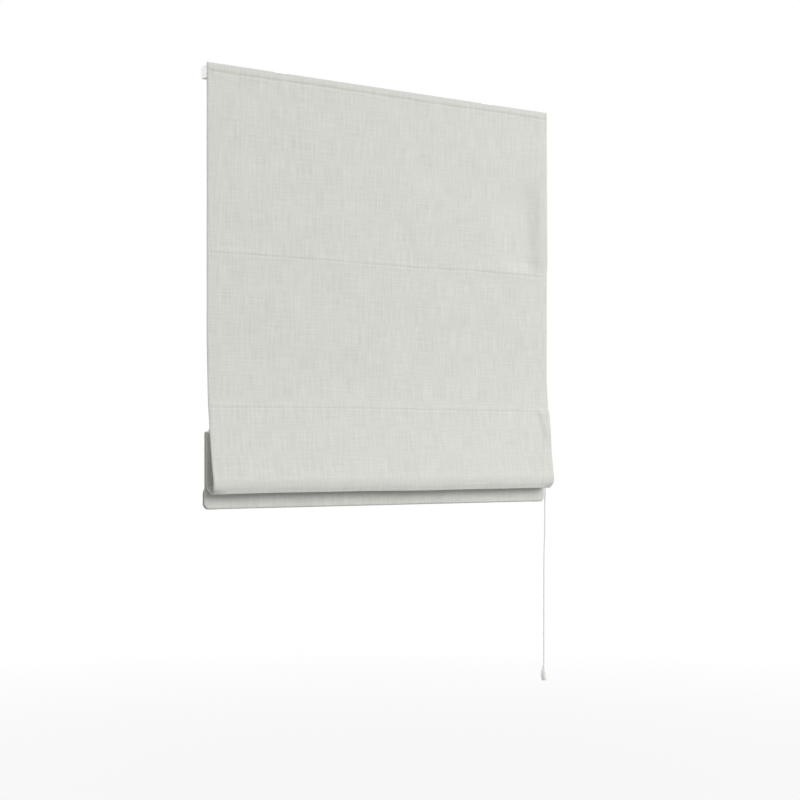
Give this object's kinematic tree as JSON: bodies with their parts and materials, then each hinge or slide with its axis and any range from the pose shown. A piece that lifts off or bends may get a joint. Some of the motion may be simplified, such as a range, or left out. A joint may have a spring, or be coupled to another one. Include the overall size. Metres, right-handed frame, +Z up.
{
  "type": "corded roman blind",
  "caption": "Corded roman blind of pale linen-look cloth with its lowest fold drawn up, hung from a headrail with a cord lock; rods, rings, bottom bar and an acorn pull.",
  "frame": {"origin": "on the overhead mounting surface, midway between the two bracket screw holes", "axes": "+Z up, +X along the headrail towards the pull cord, -Y towards the room"},
  "size_m": [0.8325, 0.0539, 1.167],
  "materials": {
    "face_cloth": "woven, linen look",
    "lining_cloth": "plain weave lining",
    "tape": "hook and loop tape",
    "cord": "braided cord",
    "rail_aluminium": "white powder coat",
    "bar_aluminium": "mill finish",
    "bracket_steel": "zinc plated spring steel",
    "pin_steel": "bright",
    "roller_brass": "knurled",
    "white_plastic": "moulded, satin",
    "clear_plastic": "moulded, pale",
    "rod_fibre": "glass fibre rod",
    "acorn_plastic": "moulded, gloss"
  },
  "bodies": {
    "head": {"mounting_bracket_left": "bracket_steel", "mounting_bracket_right": "bracket_steel", "headrail": "rail_aluminium", "left_end_cap": "white_plastic", "cord_lock_housing": "white_plastic", "lock_drum_pin": "pin_steel", "hook_tape": "tape", "loop_tape": "tape", "face_fabric": "face_cloth", "lining": "lining_cloth", "rod_pocket_upper": "lining_cloth", "rod_pocket_middle": "lining_cloth", "rod_upper": "rod_fibre", "rod_middle": "rod_fibre", "cord_rings_upper": "clear_plastic", "cord_rings_middle": "clear_plastic", "pull_cord": "cord", "guide_housing_left": "white_plastic", "guide_pin_left": "pin_steel", "lift_cord_left": "cord", "guide_housing_centre": "white_plastic", "guide_pin_centre": "pin_steel", "lift_cord_centre": "cord", "guide_housing_right": "white_plastic", "guide_pin_right": "pin_steel", "lift_cord_right": "cord"},
    "bottom": {"rod_pocket_lower": "lining_cloth", "rod_lower": "rod_fibre", "cord_anchors": "clear_plastic", "cord_stops": "white_plastic", "bottom_bar": "bar_aluminium", "bar_cap_left": "white_plastic", "bar_cap_right": "white_plastic"},
    "acorn": {"cord_acorn": "acorn_plastic", "cord_knot": "cord"},
    "pulley_left": {"guide_pulley_left": "white_plastic"},
    "pulley_centre": {"guide_pulley_centre": "white_plastic"},
    "pulley_right": {"guide_pulley_right": "white_plastic"},
    "drum": {"lock_drum": "white_plastic"},
    "roller": {"lock_roller": "roller_brass"}
  },
  "joints": [
    {"name": "bottom_lift", "type": "slide", "parent": "head", "child": "bottom", "axis": [0, 0, 1], "range_m": [-0.231, 0.035], "deforming": ["face_fabric", "lining", "lift_cord_left", "lift_cord_centre", "lift_cord_right"]},
    {"name": "acorn_travel", "type": "slide", "parent": "head", "child": "acorn", "axis": [0, 0, 1], "range_m": [-0.036, 0.232], "deforming": ["pull_cord"]},
    {"name": "pulley_left_spin", "type": "hinge", "parent": "head", "child": "pulley_left", "pos_m": [-0.31325, -0.001, -0.015], "axis": [0, 1, 0], "range_deg": [-1963, 299]},
    {"name": "pulley_centre_spin", "type": "hinge", "parent": "head", "child": "pulley_centre", "pos_m": [0.00675, -0.001, -0.015], "axis": [0, 1, 0], "range_deg": [-1963, 299]},
    {"name": "pulley_right_spin", "type": "hinge", "parent": "head", "child": "pulley_right", "pos_m": [0.32675, -0.001, -0.015], "axis": [0, 1, 0], "range_deg": [-1963, 299]},
    {"name": "drum_spin", "type": "hinge", "parent": "head", "child": "drum", "pos_m": [0.40925, -0.001, -0.015], "axis": [0, 1, 0], "range_deg": [-1963, 299]},
    {"name": "lock_roller_slide", "type": "slide", "parent": "head", "child": "roller", "axis": [-0.5, 0, -0.866], "range_m": [0, 0.004]}
  ],
  "couplings": [
    {"joint": "acorn_travel", "follows": "bottom_lift", "ratio": -1},
    {"joint": "pulley_left_spin", "follows": "bottom_lift", "rad_per_m": 148.15},
    {"joint": "pulley_centre_spin", "follows": "bottom_lift", "rad_per_m": 148.15},
    {"joint": "pulley_right_spin", "follows": "bottom_lift", "rad_per_m": 148.15},
    {"joint": "drum_spin", "follows": "bottom_lift", "rad_per_m": 148.15}
  ]
}
